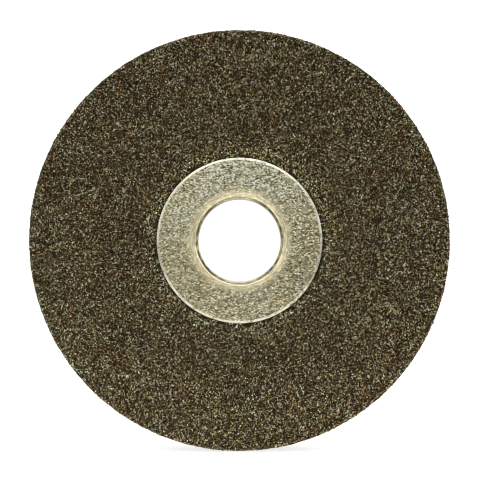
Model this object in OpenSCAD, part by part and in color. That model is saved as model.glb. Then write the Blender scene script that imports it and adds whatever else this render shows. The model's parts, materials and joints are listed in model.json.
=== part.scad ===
// Depressed-centre grinding wheel with a pressed-steel arbor bush.
// Two abrasive layers are pressed together over two glass-fibre scrims, so the whole laminate
// follows one dished curve. The bush flange is let into the hub floor at the front, its neck lines
// the bore, and its end is flared into a countersunk steel ring that clamps a paper blotter behind.
// The spin axis lies along Y with the grinding face towards -Y, and the origin is the middle of the bore.

/* [Wheel] */
// Outside diameter of the wheel
wheel_d = 50; // [44:0.5:80]
// Thickness of the abrasive laminate along the axis
wheel_t = 4; // [3:0.1:8]
// How far the hub floor sits behind the grinding face
dish_depth = 2.2; // [1:0.1:3.5]
// Inside diameter of the flat grinding face
face_inner_d = 35.6; // [30:0.2:40]
// Outside diameter of the flat hub floor
hub_floor_d = 23.2; // [22.4:0.2:28]
// Chamfer that breaks the two rim edges
rim_chamfer = 0.25; // [0.1:0.05:0.6]

/* [Laminate] */
// Thickness of the front abrasive layer, the rest being the back layer
front_layer_t = 2.2; // [1.4:0.1:2.4]
// Distance between neighbouring yarns of a scrim
yarn_pitch = 3; // [2:0.1:6]
// Width of a flattened yarn
yarn_w = 0.9; // [0.4:0.05:1.4]
// Thickness of a flattened yarn
yarn_t = 0.18; // [0.1:0.02:0.3]
// Gap between the scrims and the neck of the bush
scrim_hole_gap = 0.4; // [0.1:0.1:1]
// Gap between the back scrim and the rim chamfer
scrim_rim_gap = 0.3; // [0.1:0.1:1]

/* [Bush] */
// Diameter of the arbor bore
bore_d = 10.2; // [8:0.1:12]
// Sheet thickness of the bush
bush_t = 0.6; // [0.4:0.05:0.8]
// Outside diameter of the bush flange
flange_d = 20; // [16:0.1:22]
// Inner radius of the bend from the flange into the neck
bend_inner_r = 0.3; // [0.1:0.05:0.6]
// Radius that rounds the front edge of the flange
flange_edge_r = 0.2; // [0.05:0.05:0.3]
// How far the flange stands in front of the hub floor
flange_proud = 0.25; // [0.05:0.05:0.35]

/* [Back ring and blotter] */
// Outside diameter of the back ring
ring_d = 17; // [14.5:0.2:20]
// Thickness of the back ring
ring_t = 0.8; // [0.7:0.05:1.2]
// Depth of the flare at the rear end of the bore
flare = 0.4; // [0.2:0.05:0.45]
// Chamfer on the rear edge of the back ring
ring_chamfer = 0.15; // [0.05:0.05:0.3]
// Outside diameter of the paper blotter
blotter_d = 21.6; // [20.4:0.2:22.2]
// Thickness of the paper blotter
blotter_t = 0.3; // [0.2:0.05:0.6]

/* [Hidden] */
$fn = 96;
wheel_r = wheel_d / 2;
face_r = face_inner_d / 2;
hub_r = hub_floor_d / 2;
bore_r = bore_d / 2;
neck_r = bore_r + bush_t;
flange_r = flange_d / 2;
ring_r = ring_d / 2;
blotter_r = blotter_d / 2;
scrim_hole_r = neck_r + scrim_hole_gap;
back_scrim_r = wheel_r - rim_chamfer - scrim_rim_gap;
bend_r = bush_t + bend_inner_r;
// The flare turns out by 45 degrees and keeps its sheet thickness, so its outside starts further in.
countersink = flare + bush_t * (sqrt(2) - 1);
// Heights along the axis are first counted from the hub floor, with the front positive.
bore_front = flange_proud - bend_r;
bore_back = flare - wheel_t - yarn_t - blotter_t - ring_t;
// Heights from the middle of the bore.
floor_z = -(bore_front + bore_back) / 2;
face_z = floor_z + dish_depth;
flange_z = floor_z + flange_proud;
seat_z = flange_z - bush_t;
bend_z = flange_z - bend_r;
hub_back_z = floor_z - wheel_t;
ring_front_z = hub_back_z - yarn_t - blotter_t;
ring_back_z = ring_front_z - ring_t;
// Yarns lie half a pitch either side of the axis.
yarns_each_side = floor((wheel_r - yarn_w) / yarn_pitch + 0.5);
// How far a cutting shape runs past the surface it opens.
overrun = 0.5;

// Turns a profile round the axis and lays the axis along Y, with the front towards -Y.
module turned() {
  rotate([90, 0, 0]) rotate_extrude() children();
}

// One line of the dished laminate, a given depth behind the front surface, from r_in to r_out.
function dished_line(depth, r_in, r_out) = [
  [r_in, floor_z - depth],
  [hub_r, floor_z - depth],
  [face_r, face_z - depth],
  [r_out, face_z - depth]
];

function reversed(points) = [for (i = [len(points) - 1 : -1 : 0]) points[i]];

// A dished shell between two depths.
module dished_shell(depth_front, depth_back, r_in, r_out) {
  turned()
    polygon(concat(dished_line(depth_front, r_in, r_out), reversed(dished_line(depth_back, r_in, r_out))));
}

// Straight bands, one per yarn, that run along X, or along Z when crosswise.
module yarn_bands(crosswise) {
  rotate([0, crosswise ? 90 : 0, 0])
    for (side = [-1, 1], i = [0 : yarns_each_side - 1])
      translate([0, 0, side * (i + 0.5) * yarn_pitch])
        cube([2 * wheel_d, 2 * wheel_d, yarn_w], center = true);
}

// The yarns of one direction, pressed into the dished curve between two depths.
module yarns(depth_front, depth_back, r_out, crosswise) {
  intersection() {
    dished_shell(depth_front, depth_back, scrim_hole_r, r_out);
    yarn_bands(crosswise);
  }
}

module inner_warp(past = 0) {
  yarns(front_layer_t - yarn_t, front_layer_t + past, wheel_r + past, false);
}

module inner_weft(past = 0) {
  yarns(front_layer_t - past, front_layer_t + yarn_t, wheel_r + past, true);
}

module back_warp() {
  yarns(wheel_t, wheel_t + yarn_t, back_scrim_r, false);
}

module back_weft(past = 0) {
  yarns(wheel_t - yarn_t, wheel_t + past, back_scrim_r, true);
}

// Front layer: the grinding face, the dish and the seat for the bush flange.
module front_abrasive_layer() {
  color([0.31, 0.28, 0.2])
    difference() {
      turned()
        polygon(concat(
          [
            [neck_r, seat_z - bend_inner_r],
            [neck_r + bend_inner_r, seat_z],
            [flange_r, seat_z],
            [flange_r, floor_z],
            [hub_r, floor_z],
            [face_r, face_z],
            [wheel_r - rim_chamfer, face_z],
            [wheel_r, face_z - rim_chamfer]
          ],
          reversed(dished_line(front_layer_t, neck_r, wheel_r))
        ));
      inner_warp(overrun);
    }
}

// Back layer: the weft of the back scrim is let into its rear surface, and the warp lies across that.
module back_abrasive_layer() {
  color([0.29, 0.26, 0.19])
    difference() {
      turned()
        polygon(concat(
          dished_line(front_layer_t, neck_r, wheel_r),
          [
            [wheel_r, face_z - wheel_t + rim_chamfer],
            [wheel_r - rim_chamfer, face_z - wheel_t],
            [face_r, face_z - wheel_t],
            [hub_r, hub_back_z],
            [neck_r, hub_back_z]
          ]
        ));
      inner_weft(overrun);
      back_weft(overrun);
    }
}

module inner_scrim_warp() {
  color([0.74, 0.7, 0.56]) inner_warp();
}

module inner_scrim_weft() {
  color([0.74, 0.7, 0.56]) inner_weft();
}

module back_scrim_warp() {
  color([0.74, 0.7, 0.56]) back_warp();
}

module back_scrim_weft() {
  color([0.74, 0.7, 0.56]) back_weft();
}

// Paper washer between the yarns behind the hub and the back ring.
module paper_blotter() {
  color([0.62, 0.53, 0.4])
    turned()
      translate([neck_r, ring_front_z])
        square([blotter_r - neck_r, blotter_t]);
}

// Front bush: a flange, a rounded bend, a neck that lines the bore and a flared rear end.
module flanged_bush() {
  color([0.62, 0.6, 0.5])
    turned() {
      flange_profile();
      bend_profile();
      translate([bore_r, ring_back_z + countersink])
        square([bush_t, bend_z - ring_back_z - countersink]);
      flare_profile();
    }
}

module flange_profile() {
  edge_centre = [flange_r - flange_edge_r, flange_z - flange_edge_r];
  translate([bore_r + bend_r, seat_z])
    square([edge_centre[0] - bore_r - bend_r, bush_t]);
  translate([edge_centre[0], seat_z])
    square([flange_edge_r, bush_t - flange_edge_r]);
  translate(edge_centre) circle(flange_edge_r);
}

module bend_profile() {
  translate([bore_r + bend_r, bend_z])
    difference() {
      intersection() {
        circle(bend_r);
        translate([-bend_r, 0]) square(bend_r);
      }
      circle(bend_inner_r);
    }
}

module flare_profile() {
  polygon([
    [bore_r, ring_back_z + countersink],
    [bore_r, ring_back_z + flare],
    [bore_r + flare, ring_back_z],
    [neck_r + countersink, ring_back_z],
    [neck_r, ring_back_z + countersink]
  ]);
}

// Back ring: a countersunk washer whose rear face is the seat against the machine.
module back_ring() {
  color([0.6, 0.59, 0.52])
    turned()
      polygon([
        [neck_r, ring_front_z],
        [ring_r, ring_front_z],
        [ring_r, ring_back_z + ring_chamfer],
        [ring_r - ring_chamfer, ring_back_z],
        [neck_r + countersink, ring_back_z],
        [neck_r, ring_back_z + countersink]
      ]);
}

front_abrasive_layer();
inner_scrim_warp();
inner_scrim_weft();
back_abrasive_layer();
back_scrim_warp();
back_scrim_weft();
paper_blotter();
flanged_bush();
back_ring();
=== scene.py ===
"""Builds the look of a dished grinding wheel round its fixed frame.

The spin axis lies along Y and the grinding face looks towards -Y. Lengths are in metres.
"""
import json
import math

import bmesh
import bpy
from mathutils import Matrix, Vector

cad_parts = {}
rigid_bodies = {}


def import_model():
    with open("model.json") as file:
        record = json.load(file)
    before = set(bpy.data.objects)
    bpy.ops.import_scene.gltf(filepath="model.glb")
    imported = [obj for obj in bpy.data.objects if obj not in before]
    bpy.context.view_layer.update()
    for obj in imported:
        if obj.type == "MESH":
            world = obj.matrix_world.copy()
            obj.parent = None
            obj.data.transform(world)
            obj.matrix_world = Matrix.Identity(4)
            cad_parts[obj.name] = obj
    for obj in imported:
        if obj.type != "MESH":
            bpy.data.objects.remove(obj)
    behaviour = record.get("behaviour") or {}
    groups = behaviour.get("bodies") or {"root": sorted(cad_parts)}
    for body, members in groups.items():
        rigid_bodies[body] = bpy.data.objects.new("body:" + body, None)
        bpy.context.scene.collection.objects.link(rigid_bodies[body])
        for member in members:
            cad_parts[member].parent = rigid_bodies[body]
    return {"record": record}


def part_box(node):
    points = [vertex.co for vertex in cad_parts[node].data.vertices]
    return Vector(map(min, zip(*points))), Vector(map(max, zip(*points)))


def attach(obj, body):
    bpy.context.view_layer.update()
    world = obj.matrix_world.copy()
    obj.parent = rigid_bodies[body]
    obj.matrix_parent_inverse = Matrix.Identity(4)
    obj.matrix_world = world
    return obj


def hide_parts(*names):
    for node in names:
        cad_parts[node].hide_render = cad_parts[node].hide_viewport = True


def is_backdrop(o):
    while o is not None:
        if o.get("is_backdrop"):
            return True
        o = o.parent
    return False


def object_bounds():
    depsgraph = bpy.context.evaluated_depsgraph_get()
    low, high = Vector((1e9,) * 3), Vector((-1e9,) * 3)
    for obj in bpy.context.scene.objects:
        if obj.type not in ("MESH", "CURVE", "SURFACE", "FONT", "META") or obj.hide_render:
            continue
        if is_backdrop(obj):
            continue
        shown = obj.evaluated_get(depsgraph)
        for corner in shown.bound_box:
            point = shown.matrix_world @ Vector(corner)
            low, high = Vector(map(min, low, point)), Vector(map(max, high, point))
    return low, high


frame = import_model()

bl_info = {
    "name": "Dished Grinding Wheel",
    "version": (1, 0, 0),
    "blender": (4, 5, 0),
    "location": "3D View > Sidebar > Wheel",
    "description": "Models the grit, yarns, paper and steel of a dished grinding wheel",
    "category": "Object",
}

MM = 0.001
PER_MM = 1 / MM
FULL_TURN = 2 * math.pi
BODY = "root"
IMAGE_SIDE = 480

# Readings from the frame
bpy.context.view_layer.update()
FRONT_LOW, FRONT_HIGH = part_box("front_abrasive_layer")
BACK_LOW, BACK_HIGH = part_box("back_abrasive_layer")
WEFT_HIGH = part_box("inner_scrim_weft")[1]
NET_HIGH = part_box("back_scrim_warp")[1]
PAPER_LOW, PAPER_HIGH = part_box("paper_blotter")
BUSH_LOW, BUSH_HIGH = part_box("flanged_bush")
RING_LOW, RING_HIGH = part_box("back_ring")
BORE_R = next(m["dims"]["r_mm"] for m in frame["record"]["mounts"] if m["name"] == "arbor_bore") * MM
FRONT_T = BACK_LOW.y - FRONT_LOW.y
BACK_T = BACK_HIGH.y - FRONT_HIGH.y
DISH_DEPTH = FRONT_HIGH.y - BACK_LOW.y
YARN_T = WEFT_HIGH.y - FRONT_HIGH.y

# Fineness of the meshes
WELD = 0.001 * MM
ARC_STEPS = 8
BOND_STEP = 0.33 * MM
BOND_TURNS = 480
STEEL_TURNS = 256
PAPER_STEP = 0.4 * MM
PAPER_TURNS = 240
GUIDE_TURNS = 192
CUTTER_TURNS = 384
YARN_CELLS = (120, 6)

# Small sizes that the pieces share
SEAT_GAP = 0.1 * MM
BARE = 0.01 * MM
YARN_SEAM = 0.12 * MM
EDGE_BREAK = 0.06 * MM
SEAM_BREAK = 0.05 * MM
# A face belongs to the front or the back when its normal leans at least this far along the axis.
FACING = 0.5
# Height of a yarn at its edge, as a share of its middle
YARN_EDGE = 0.3

# Grains
GRAIN_MAP = "OFBake"
RIM_ROWS = 6
GRAIN_SHAPES = 6
GRAIN_R = 0.62
GRAIN_SPREAD = 0.2
SINK_SPREAD = 0.045 * MM
# Points that are tried in a square as wide as the grain gap
POINTS_TRIED = 6
# Seeds of the two layers, and the step from one part of a layer to the next
FRONT_SEED = 100
BACK_SEED = 200
SEED_STEP = 10
# Width of the face's map in wheel radii, and how much of a row of the rim's map is filled
FACE_SPAN = 2.04
ROW_LENGTH = 0.96
ROW_HEIGHT = 0.8
# Hue numbers below and above which a grain is rusty or glints
RUST = 0.008
GLINT = 0.96

# Colours of the grains: by brightness, by hue, and in broad patches
TONE_STOPS = (
    (0.0, (0.004, 0.002, 0.001)),
    (0.2, (0.057, 0.032, 0.016)),
    (0.5, (0.176, 0.137, 0.064)),
    (0.75, (0.327, 0.294, 0.146)),
    (0.93, (0.515, 0.515, 0.312)),
    (1.0, (0.85, 0.88, 0.7)),
)
HUE_STOPS = (
    (0.0, (0.95, 0.48, 0.24)),
    (0.12, (1.02, 0.84, 0.72)),
    (0.5, (1.0, 1.0, 0.99)),
    (0.86, (0.96, 1.06, 1.07)),
    (1.0, (0.92, 1.07, 1.27)),
)
PATCH_STOPS = (
    (0.36, (1.06, 0.935, 0.82)),
    (0.5, (1.0, 1.005, 0.975)),
    (0.64, (0.95, 1.025, 1.01)),
)
FRESH_TINT = (0.96, 1.06, 1.12)
GLINT_TINT = (0.5, 0.48, 0.38)

# Scratches: their headings, how they are drawn out, and the noise where one starts and is full
SCRATCH_TURNS = (0.1, 0.75, 1.9, 2.6)
SCRATCH_DRAW = (0.05, 1, 1)
SCRATCH_EDGE = (0.66, 0.74)
# Rubbing marks of the lip to a radian, and to a millimetre of radius
LIP_RUBS = 7
WORN_GLOSS = (0.26, 0.26, 0.26)

# Colours of the flecks in the plating
FLECK_SHADES = (
    (0.0, (0.04, 0.036, 0.016)),
    (0.08, (0.23, 0.215, 0.13)),
    (0.3, (0.62, 0.61, 0.505)),
    (0.6, (0.98, 0.98, 0.95)),
    (0.85, (1.68, 1.69, 1.8)),
    (1.0, (2.7, 2.72, 3.05)),
)
FLECK_TINTS = (
    (0.0, (1.3, 0.75, 0.45)),
    (0.012, (1.06, 0.99, 0.92)),
    (0.5, (1.0, 1.0, 1.0)),
    (1.0, (0.96, 1.01, 1.02)),
)

# Glass strands to a metre, across a yarn and along it
STRANDS_ACROSS = 7 * PER_MM
STRANDS_ALONG = 0.35 * PER_MM

# Paper: colours of the pulp, headings and colours of the fibres, how those are drawn out, and dirt
PULP_STOPS = ((0.3, (0.23, 0.155, 0.08)), (0.7, (0.47, 0.34, 0.2)))
FIBRES = ((0.4, (0.16, 0.1, 0.05)), (1.5, (0.62, 0.5, 0.34)), (2.6, (0.16, 0.1, 0.05)))
FIBRE_DRAW = (0.4 * PER_MM, PER_MM, 5 * PER_MM)
SOIL = (0.11, 0.075, 0.045)

# Stage: the floor, how squarely a heading faces the dim side where the room starts to dim and is
# dimmest, and the strip light over the wheel
FLOOR_SIDE = 4
FLOOR_TINT = (0.45, 0.45, 0.45)
WHITE = (1, 1, 1)
DIM_EDGE = (0.55, 0.97)
STRIP_PLACE = (0, -70 * MM, 105 * MM)
STRIP_SIDES = (180 * MM, 15 * MM)


def length(name, description, default):
    return bpy.props.FloatProperty(
        name=name, description=description, default=default, unit="LENGTH", precision=5
    )


def strength(name, description, default):
    return bpy.props.FloatProperty(name=name, description=description, default=default, min=0)


def colour(name, description, default):
    return bpy.props.FloatVectorProperty(
        name=name, description=description, default=default, size=3, min=0, max=1, subtype="COLOR"
    )


class LaminateSizes(bpy.types.PropertyGroup):
    """Sizes of the pressed laminate"""

    wheel_r: length("Wheel radius", "Outside radius of the wheel", FRONT_HIGH.x)
    face_y: length("Grinding face", "Place of the grinding face along the axis", FRONT_LOW.y)
    front_t: length("Front layer", "Thickness of the front abrasive layer", FRONT_T)
    back_t: length("Back layer", "Thickness of the back abrasive layer", BACK_T)
    dish_depth: length("Dish depth", "How far the hub floor sits behind the face", DISH_DEPTH)
    face_r: length("Face inner radius", "Inside radius of the flat grinding face", 17.8 * MM)
    hub_r: length("Hub radius", "Outside radius of the flat hub floor", 11.6 * MM)
    bend_round: length("Dish rounding", "Radius that softens both bends of the dish", 4 * MM)
    rim_chamfer: length("Rim chamfer", "Chamfer that breaks the rim edges", 0.25 * MM)
    bond_sink: length("Bond sink", "How far the bond lies behind the grain tips", 0.08 * MM)
    unevenness: length("Unevenness", "Height of the waves in the bond surface", 0.1 * MM)


class ScrimSizes(bpy.types.PropertyGroup):
    """Sizes and colours of the two glass yarn scrims"""

    pitch: length("Yarn pitch", "Distance between neighbouring yarns", 3 * MM)
    width: length("Yarn width", "Width of a flattened yarn", 0.9 * MM)
    thickness: length("Yarn thickness", "Thickness of a flattened yarn", YARN_T)
    hole_gap: length("Hole gap", "Gap between the yarns and the neck of the bush", 0.4 * MM)
    net_r: length("Net radius", "Outside radius of the back scrim", NET_HIGH.x)
    fray: length("Fray", "How far cut yarn ends stand out of the rim bond", 0.1 * MM)
    relief: length("Relief", "How far the back bond lies under the yarns that are let into it", 0.1 * MM)
    glass: colour("Glass", "Colour of the yarns", (0.34, 0.27, 0.14))
    resin: colour("Resin", "Colour of the resin that soaks the yarns", (0.09, 0.055, 0.022))


class BushSizes(bpy.types.PropertyGroup):
    """Sizes of the flanged steel bush and the ring behind it"""

    bore_r: length("Bore radius", "Radius of the arbor bore", BORE_R)
    sheet_t: length("Sheet", "Sheet thickness of the bush", 0.6 * MM)
    flange_r: length("Flange radius", "Outside radius of the flange", BUSH_HIGH.x)
    flange_y: length("Flange front", "Place of the flange front along the axis", BUSH_LOW.y)
    back_y: length("Flare end", "Place of the flared end along the axis", BUSH_HIGH.y)
    bend_r: length("Bend", "Inner radius of the bend from flange to neck", 0.3 * MM)
    lip_w: length("Lip width", "Width of the sloping lip round the bore", 1.2 * MM)
    lip_drop: length("Lip drop", "How far the slope of the lip would fall at the bore wall", 0.36 * MM)
    lip_round: length("Lip rounding", "Radius from the slope of the lip into the bore", 0.6 * MM)
    slope_round: length("Slope rounding", "Radius from the flange into the slope of the lip", 3 * MM)
    edge_w: length("Flange edge", "Width of the bevel on the front edge of the flange", 0.3 * MM)
    edge_round: length("Edge rounding", "Radius from the flange into its bevel", 0.25 * MM)
    flare: length("Flare", "Depth of the flare at the rear of the bore", 0.4 * MM)
    ring_chamfer: length("Ring chamfer", "Chamfer on the rear edge of the back ring", 0.15 * MM)


class GritLook(bpy.types.PropertyGroup):
    """Grain sizes and colours of the abrasive"""

    gap: length("Grain gap", "Smallest distance between grain centres", 0.132 * MM)
    small: length("Small grain", "Width of the smallest grains", 0.115 * MM)
    large: length("Large grain", "Width of the largest grains", 0.215 * MM)
    sink: length("Grain sink", "How far grain centres lie under the bond surface", 0.015 * MM)
    rim_sink: length("Rim grain sink", "The same on the trued rim", 0.045 * MM)
    groove: length("Groove", "Width of the bare groove round the bush flange", 0.12 * MM)
    bond: colour("Bond", "Colour of the resin bond", (0.0125, 0.006, 0.003))
    crumb: colour("Crumb", "Colour of the finest grit in the bond", (0.075, 0.057, 0.03))


class MetalLook(bpy.types.PropertyGroup):
    """Colours of the steel pieces"""

    pale: colour("Pale steel", "Colour of the plated steel", (0.435, 0.42, 0.296))
    tan: colour("Tan steel", "Colour where the plating has yellowed", (0.451, 0.413, 0.262))
    # Grime is the dirt in pits, spots and seams, and also the painted shade in the bore
    grime: colour("Grime", "Colour of the dirt in pits and in the bore", (0.085, 0.072, 0.042))
    # Bright steel is also a painted highlight on the flange edge
    bright: colour("Bright steel", "Colour of worn edges and scratches", (0.67, 0.645, 0.515))
    # The lip's colour is a painted highlight as well as worn steel
    lip: colour("Lip", "Colour of the rubbed lip round the bore", (0.81, 0.725, 0.468))


class StageLook(bpy.types.PropertyGroup):
    """Camera, floor and light"""

    distance: length("Camera distance", "Distance from the camera to the grinding face", 110 * MM)
    pixel: length("Pixel", "Width of one picture point at the grinding face", 0.1182 * MM)
    floor_glow: strength("Floor glow", "Light that the floor near the wheel sends up to it", 0.92)
    pool_r: length("Pool radius", "Radius of the lit part of the floor", 35 * MM)
    floor_white: strength("Floor white", "Light that the floor sends to the camera", 0.75)
    room: strength("Room", "Brightness of the white room beside and behind the wheel", 1.2)
    dim: strength("Dim side", "Brightness of the room where it is dimmest", 0.565)
    dim_way: bpy.props.FloatVectorProperty(
        name="Dim heading",
        description="Heading from the wheel to the dimmest part of the room",
        default=(0.06, -0.985, -0.17),
        size=3,
        subtype="DIRECTION",
    )
    backdrop: strength("Backdrop", "Brightness of the room to the camera", 1.25)
    strip: strength("Strip light", "Power of the strip light over the wheel in watts", 0.015)


LOOKS = {
    "wheel_laminate": LaminateSizes,
    "wheel_scrim": ScrimSizes,
    "wheel_bush": BushSizes,
    "wheel_grit": GritLook,
    "wheel_metal": MetalLook,
    "wheel_stage": StageLook,
}


# Outlines, as paths of (radius, axis) points
def rounded(corners):
    """The path through corners of radius, axis and rounding, with an arc at each rounded one."""
    points = [Vector(corner[:2]) for corner in corners]
    path = []
    for i, (far, along, size) in enumerate(corners):
        if not size:
            path.append((far, along))
            continue
        before = (points[i - 1] - points[i]).normalized()
        after = (points[(i + 1) % len(points)] - points[i]).normalized()
        half = math.acos(max(-1, min(1, before.dot(after)))) / 2
        centre = points[i] + (before + after).normalized() * size / math.sin(half)
        arm = points[i] + before * size / math.tan(half) - centre
        start = math.atan2(arm.y, arm.x)
        turn = math.pi - 2 * half
        if before.x * after.y - before.y * after.x > 0:
            turn = -turn
        for step in range(ARC_STEPS + 1):
            angle = start + turn * step / ARC_STEPS
            path.append((centre.x + size * math.cos(angle), centre.y + size * math.sin(angle)))
    return path


def stepped(points, step):
    """The path with points added so that no stretch is longer than the step."""
    path = [points[0]]
    for a, b in zip(points, points[1:]):
        count = math.ceil(math.dist(a, b) / step)
        path += [tuple(Vector(a).lerp(Vector(b), i / count)) for i in range(1, count + 1)]
    return path


def laminate_line(depth, r_in, r_out):
    """The dished line a given depth behind the front surface, with its two bends rounded."""
    wheel = bpy.context.scene.wheel_laminate
    face = wheel.face_y + depth
    floor = face + wheel.dish_depth
    bends = [(wheel.hub_r, floor, wheel.bend_round), (wheel.face_r, face, wheel.bend_round)]
    return rounded([(r_in, floor, 0), *bends, (r_out, face, 0)])


def front_at(far):
    """Place of the front surface along the axis, at a radius, without the rounding."""
    wheel = bpy.context.scene.wheel_laminate
    part = (wheel.face_r - far) / (wheel.face_r - wheel.hub_r)
    return wheel.face_y + wheel.dish_depth * max(0, min(1, part))


def neck_r(bush):
    """Outside radius of the bush's neck."""
    return bush.bore_r + bush.sheet_t


def seam_r(bush):
    """Radius of the seam between the flared end of the bush and the back ring."""
    return bush.bore_r + bush.flare + bush.sheet_t * math.sqrt(2)


def bond_r(wheel):
    """Outside radius of the bond, which lies behind the tips of the grains."""
    return wheel.wheel_r - wheel.bond_sink


def radius(point):
    return math.hypot(point.x, point.z)


def at_rim(spot, normal):
    """True on the outer wall of a bond body."""
    far = bond_r(bpy.context.scene.wheel_laminate) - 2 * SEAT_GAP
    return radius(spot) > far and abs(normal.y) <= FACING


# Modelling steps
def deselect_all():
    if bpy.context.mode != "OBJECT":
        bpy.ops.object.mode_set(mode="OBJECT")
    bpy.ops.object.select_all(action="DESELECT")


def take(piece):
    """Selects one piece alone and makes it active."""
    deselect_all()
    piece.select_set(True)
    bpy.context.view_layer.objects.active = piece


def edit_all():
    """Enters edit mode with everything selected."""
    bpy.ops.object.mode_set(mode="EDIT")
    bpy.ops.mesh.select_all(action="SELECT")


def leave_edit():
    bpy.ops.object.mode_set(mode="OBJECT")


def named(name):
    """Names the active object and its mesh."""
    piece = bpy.context.object
    piece.name = piece.data.name = name
    return piece


def turned(name, path, steps, closed=True):
    """Draws a path of (radius, axis) points and spins it once round the axis."""
    deselect_all()
    bpy.ops.mesh.primitive_plane_add(size=MM)
    piece = named(name)
    edit_all()
    bpy.ops.mesh.select_mode(type="VERT")
    bpy.ops.mesh.merge(type="CENTER")
    bpy.ops.transform.translate(value=(*path[0], 0))
    ends = path + path[:1] if closed else path
    for a, b in zip(ends, ends[1:]):
        bpy.ops.mesh.extrude_vertices_move(
            TRANSFORM_OT_translate={"value": (b[0] - a[0], b[1] - a[1], 0)}
        )
    bpy.ops.mesh.select_all(action="SELECT")
    bpy.ops.mesh.remove_doubles(threshold=WELD)
    leave_edit()
    applied(piece, "SCREW", axis="Y", steps=steps, render_steps=steps)
    edit_all()
    bpy.ops.mesh.remove_doubles(threshold=WELD)
    bpy.ops.mesh.normals_make_consistent(inside=False)
    leave_edit()
    return piece


def applied(piece, kind, **settings):
    """Adds a modifier with its settings and applies it."""
    take(piece)
    modifier = piece.modifiers.new(kind.lower(), kind)
    for key, value in settings.items():
        setattr(modifier, key, value)
    bpy.ops.object.modifier_apply(modifier=modifier.name)


def smooth(piece, degrees=35):
    take(piece)
    bpy.ops.object.shade_smooth_by_angle(angle=math.radians(degrees))


def weigh(piece, name, rule):
    """Makes a vertex group whose weights follow a rule on the place of each vertex."""
    group = piece.vertex_groups.new(name=name)
    for vertex in piece.data.vertices:
        group.add([vertex.index], rule(vertex.co), "REPLACE")
    return group.name


def pick_faces(piece, wanted):
    """In edit mode, selects the faces whose middle and normal pass a test."""
    mesh = bmesh.from_edit_mesh(piece.data)
    for face in mesh.faces:
        face.select_set(wanted(face.calc_center_median(), face.normal))
    bmesh.update_edit_mesh(piece.data)


def skin(body, name, wanted):
    """Copies the faces of a body that pass a test into a new piece."""
    take(body)
    bpy.ops.object.duplicate()
    piece = named(name)
    bpy.ops.object.mode_set(mode="EDIT")
    bpy.ops.mesh.select_mode(type="FACE")
    pick_faces(piece, lambda middle, normal: not wanted(middle, normal))
    bpy.ops.mesh.delete(type="FACE")
    leave_edit()
    return piece


def settle(piece, material, node=None):
    """Gives a finished piece its material, body and slot, and hides the node it stands for."""
    if len(piece.data.polygons) == 0:
        raise RuntimeError(f"{piece.name}: no faces are left")
    piece.data.materials.clear()
    piece.data.materials.append(material)
    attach(piece, BODY)
    if node:
        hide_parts(node)


# Node helpers
def fill(tree, node, inputs):
    """Links or sets the inputs of a node."""
    for key, value in inputs.items():
        if isinstance(value, bpy.types.NodeSocket):
            tree.links.new(value, node.inputs[key])
        else:
            node.inputs[key].default_value = value


def place(tree, kind, inputs=None, **settings):
    """Adds a node, sets its properties, and fills its inputs."""
    node = tree.nodes.new(kind)
    for key, value in settings.items():
        setattr(node, key, value)
    fill(tree, node, inputs or {})
    return node


def maths(tree, operation, *values):
    return place(tree, "ShaderNodeMath", dict(enumerate(values)), operation=operation).outputs[0]


def product(tree, value, *others):
    """Multiplies numbers."""
    for other in others:
        value = maths(tree, "MULTIPLY", value, other)
    return value


def fade(tree, value, start, end, low=0.0, high=1.0):
    """Goes smoothly from low to high as the value goes from start to end."""
    span = {"Value": value, "From Min": start, "From Max": end, "To Min": low, "To Max": high}
    return place(tree, "ShaderNodeMapRange", span, interpolation_type="SMOOTHSTEP").outputs[0]


def rgba(tint):
    return (*tint, 1)


def ramp(tree, value, stops):
    """A colour ramp; a stop is a position and a grey or a colour."""
    node = place(tree, "ShaderNodeValToRGB", {"Fac": value})
    elements = node.color_ramp.elements
    elements.remove(elements[1])
    for i, (position, tint) in enumerate(stops):
        element = elements.new(position) if i else elements[0]
        element.position = position
        element.color = rgba(tint) if isinstance(tint, tuple) else (tint, tint, tint, 1)
    return node.outputs["Color"]


def mixed(tree, factor, a, b, blend="MIX"):
    """Mixes two colours, each a socket or a tint."""
    ends = [end if isinstance(end, bpy.types.NodeSocket) else rgba(end) for end in (a, b)]
    inputs = {0: factor, 6: ends[0], 7: ends[1]}
    return place(tree, "ShaderNodeMix", inputs, data_type="RGBA", blend_type=blend).outputs[2]


def times(tree, a, b, amount=1.0):
    """Multiplies one colour by another."""
    return mixed(tree, amount, a, b, "MULTIPLY")


def noise(tree, vector, scale, detail=2, roughness=0.5):
    inputs = {"Vector": vector, "Scale": scale, "Detail": detail, "Roughness": roughness}
    return place(tree, "ShaderNodeTexNoise", inputs).outputs["Fac"]


def mapped(tree, vector, scale, turn=0.0):
    """Turns a vector about Y, and then multiplies it by the scale."""
    inputs = {"Vector": vector, "Rotation": (0, turn, 0), "Scale": tuple(1 / part for part in scale)}
    return place(tree, "ShaderNodeMapping", inputs, vector_type="TEXTURE").outputs["Vector"]


def vector_maths(tree, operation, inputs, output=0):
    return place(tree, "ShaderNodeVectorMath", inputs, operation=operation).outputs[output]


def axes(tree, vector):
    """The three parts of a vector."""
    return place(tree, "ShaderNodeSeparateXYZ", {0: vector}).outputs


def joined(tree, **parts):
    """A vector from some of its parts."""
    return place(tree, "ShaderNodeCombineXYZ", parts).outputs[0]


def axis_length(tree, parts):
    """Distance from the spin axis, from the parts of a place."""
    return vector_maths(tree, "LENGTH", {0: joined(tree, X=parts["X"], Z=parts["Z"])}, "Value")


def new_material(name):
    """A material, its node tree, and the Object coordinates in that."""
    material = bpy.data.materials.new(name)
    material.use_nodes = True
    tree = material.node_tree
    return material, tree, tree.nodes.new("ShaderNodeTexCoord").outputs["Object"]


def finished(material, inputs):
    """Fills the inputs of a material's shader, and gives the material."""
    tree = material.node_tree
    fill(tree, tree.nodes["Principled BSDF"], inputs)
    return material


def shared_finish(name, make):
    """A material that several pieces have, made when it is first needed."""
    return bpy.data.materials.get(name) or make()


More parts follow.
